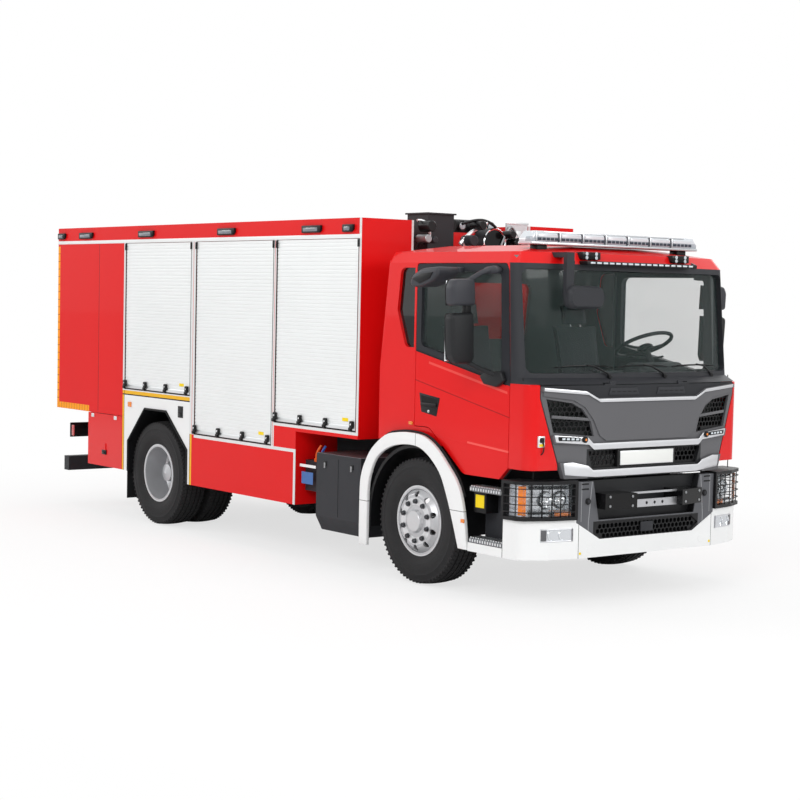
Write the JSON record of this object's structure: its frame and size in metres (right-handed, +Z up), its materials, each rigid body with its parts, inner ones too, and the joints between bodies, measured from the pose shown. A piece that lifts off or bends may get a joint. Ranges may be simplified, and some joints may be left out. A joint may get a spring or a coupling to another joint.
{
  "type": "rescue fire engine",
  "caption": "Rescue fire engine with a day cab, steering front wheels, twin rear wheels, side lockers behind roller shutters and a folding light mast behind the cab.",
  "frame": {"origin": "on the ground, midway along the vehicle's length, on its centre line", "axes": "+X forward, +Y to the vehicle's left, +Z up"},
  "size_m": [8.26, 3.16, 3.1698],
  "materials": {
    "red_paint": "gloss fire red",
    "white_paint": "gloss white",
    "frame_paint": "satin black",
    "dark_plastic": "fine grained dark grey",
    "black_plastic": "black",
    "grille_grey": "satin grey with brighter bands",
    "shutter_aluminium": "anodised slats",
    "lamp_glass": "clear lens over bright reflector",
    "window_glass": "lightly tinted",
    "rim_silver": "silver enamel",
    "tyre_rubber": "black rubber",
    "seat_fabric": "grey woven",
    "cast_steel": "black chassis paint"
  },
  "bodies": {
    "root": {"chassis_frame": "frame_paint", "engine_block": "cast_steel", "front_axle": "cast_steel", "rear_axle": "cast_steel", "cab_shell": "red_paint", "window_surround": "dark_plastic", "cab_glass": "window_glass", "lower_bumper": "white_paint", "centre_bumper": "dark_plastic", "front_hitch": "frame_paint", "front_lamps": "lamp_glass", "front_fenders": "white_paint", "cab_steps": "black_plastic", "dashboard": "dark_plastic", "cab_seats": "seat_fabric", "lockers_right": "red_paint", "lockers_left": "red_paint", "body_core": "red_paint", "roller_shutters": "shutter_aluminium", "chassis_boxes": "dark_plastic", "underrun_beam": "frame_paint", "mudflaps": "black_plastic", "rear_ladder": "shutter_aluminium", "cab_lights": "lamp_glass", "front_mirror": "black_plastic", "roof_gear": "frame_paint", "body_lamps": "lamp_glass"},
    "door_right": {"door_right": "red_paint", "door_glass_right": "window_glass", "mirrors_right": "black_plastic"},
    "door_left": {"door_left": "red_paint", "door_glass_left": "window_glass", "mirrors_left": "black_plastic"},
    "front_panel": {"grille_panel": "grille_grey", "mesh_grilles": "black_plastic"},
    "steering_right": {"knuckle_right": "cast_steel"},
    "steering_left": {"knuckle_left": "cast_steel"},
    "track_rod": {"tie_rod": "cast_steel"},
    "front_wheel_right": {"front_rim_right": "rim_silver", "front_tyre_right": "tyre_rubber"},
    "front_wheel_left": {"front_rim_left": "rim_silver", "front_tyre_left": "tyre_rubber"},
    "rear_wheels_right": {"rear_rims_right": "rim_silver", "rear_tyres_right": "tyre_rubber"},
    "rear_wheels_left": {"rear_rims_left": "rim_silver", "rear_tyres_left": "tyre_rubber"},
    "flap_right": {"locker_flap_right": "red_paint"},
    "flap_left": {"locker_flap_left": "red_paint"},
    "mast": {"light_mast": "frame_paint"}
  },
  "joints": [
    {"name": "steer", "type": "hinge", "parent": "root", "child": "steering_right", "pos_m": [2.49, -0.88, 0.536], "axis": [0, 0, 1], "range_deg": [-36, 36]},
    {"name": "steer_left", "type": "hinge", "parent": "root", "child": "steering_left", "pos_m": [2.49, 0.88, 0.536], "axis": [0, 0, 1], "range_deg": [-36, 36]},
    {"name": "track_rod_swing", "type": "hinge", "parent": "steering_right", "child": "track_rod", "pos_m": [2.29, -0.88, 0.4], "axis": [0, 0, 1], "range_deg": [-36, 36]},
    {"name": "spin_front_right", "type": "hinge", "parent": "steering_right", "child": "front_wheel_right", "pos_m": [2.49, -1.058, 0.536], "axis": [0, 1, 0], "continuous": true},
    {"name": "spin_front_left", "type": "hinge", "parent": "steering_left", "child": "front_wheel_left", "pos_m": [2.49, 1.058, 0.536], "axis": [0, 1, 0], "continuous": true},
    {"name": "spin_rear_right", "type": "hinge", "parent": "root", "child": "rear_wheels_right", "pos_m": [-1.86, -1.07, 0.536], "axis": [0, 1, 0], "continuous": true},
    {"name": "spin_rear_left", "type": "hinge", "parent": "root", "child": "rear_wheels_left", "pos_m": [-1.86, 1.07, 0.536], "axis": [0, 1, 0], "continuous": true},
    {"name": "door_right_hinge", "type": "hinge", "parent": "root", "child": "door_right", "pos_m": [3.618, -1.19, 1.5], "axis": [0, 0, 1], "range_deg": [0, 75]},
    {"name": "door_left_hinge", "type": "hinge", "parent": "root", "child": "door_left", "pos_m": [3.618, 1.19, 1.5], "axis": [0, 0, -1], "range_deg": [0, 75]},
    {"name": "front_panel_hinge", "type": "hinge", "parent": "root", "child": "front_panel", "pos_m": [3.943, 0, 1.748], "axis": [0, -1, 0], "range_deg": [0, 60]},
    {"name": "flap_right_hinge", "type": "hinge", "parent": "root", "child": "flap_right", "pos_m": [-2.9305, -1.25, 1.082], "axis": [-1, 0, 0], "range_deg": [0, 95]},
    {"name": "flap_left_hinge", "type": "hinge", "parent": "root", "child": "flap_left", "pos_m": [-2.9305, 1.25, 1.082], "axis": [1, 0, 0], "range_deg": [0, 95]},
    {"name": "mast_hinge", "type": "hinge", "parent": "root", "child": "mast", "pos_m": [0.3, 0.12, 3.072], "axis": [0, -1, 0], "range_deg": [0, 90]}
  ],
  "couplings": [
    {"joint": "steer_left", "follows": "steer", "ratio": 1},
    {"joint": "track_rod_swing", "follows": "steer", "ratio": -1}
  ]
}
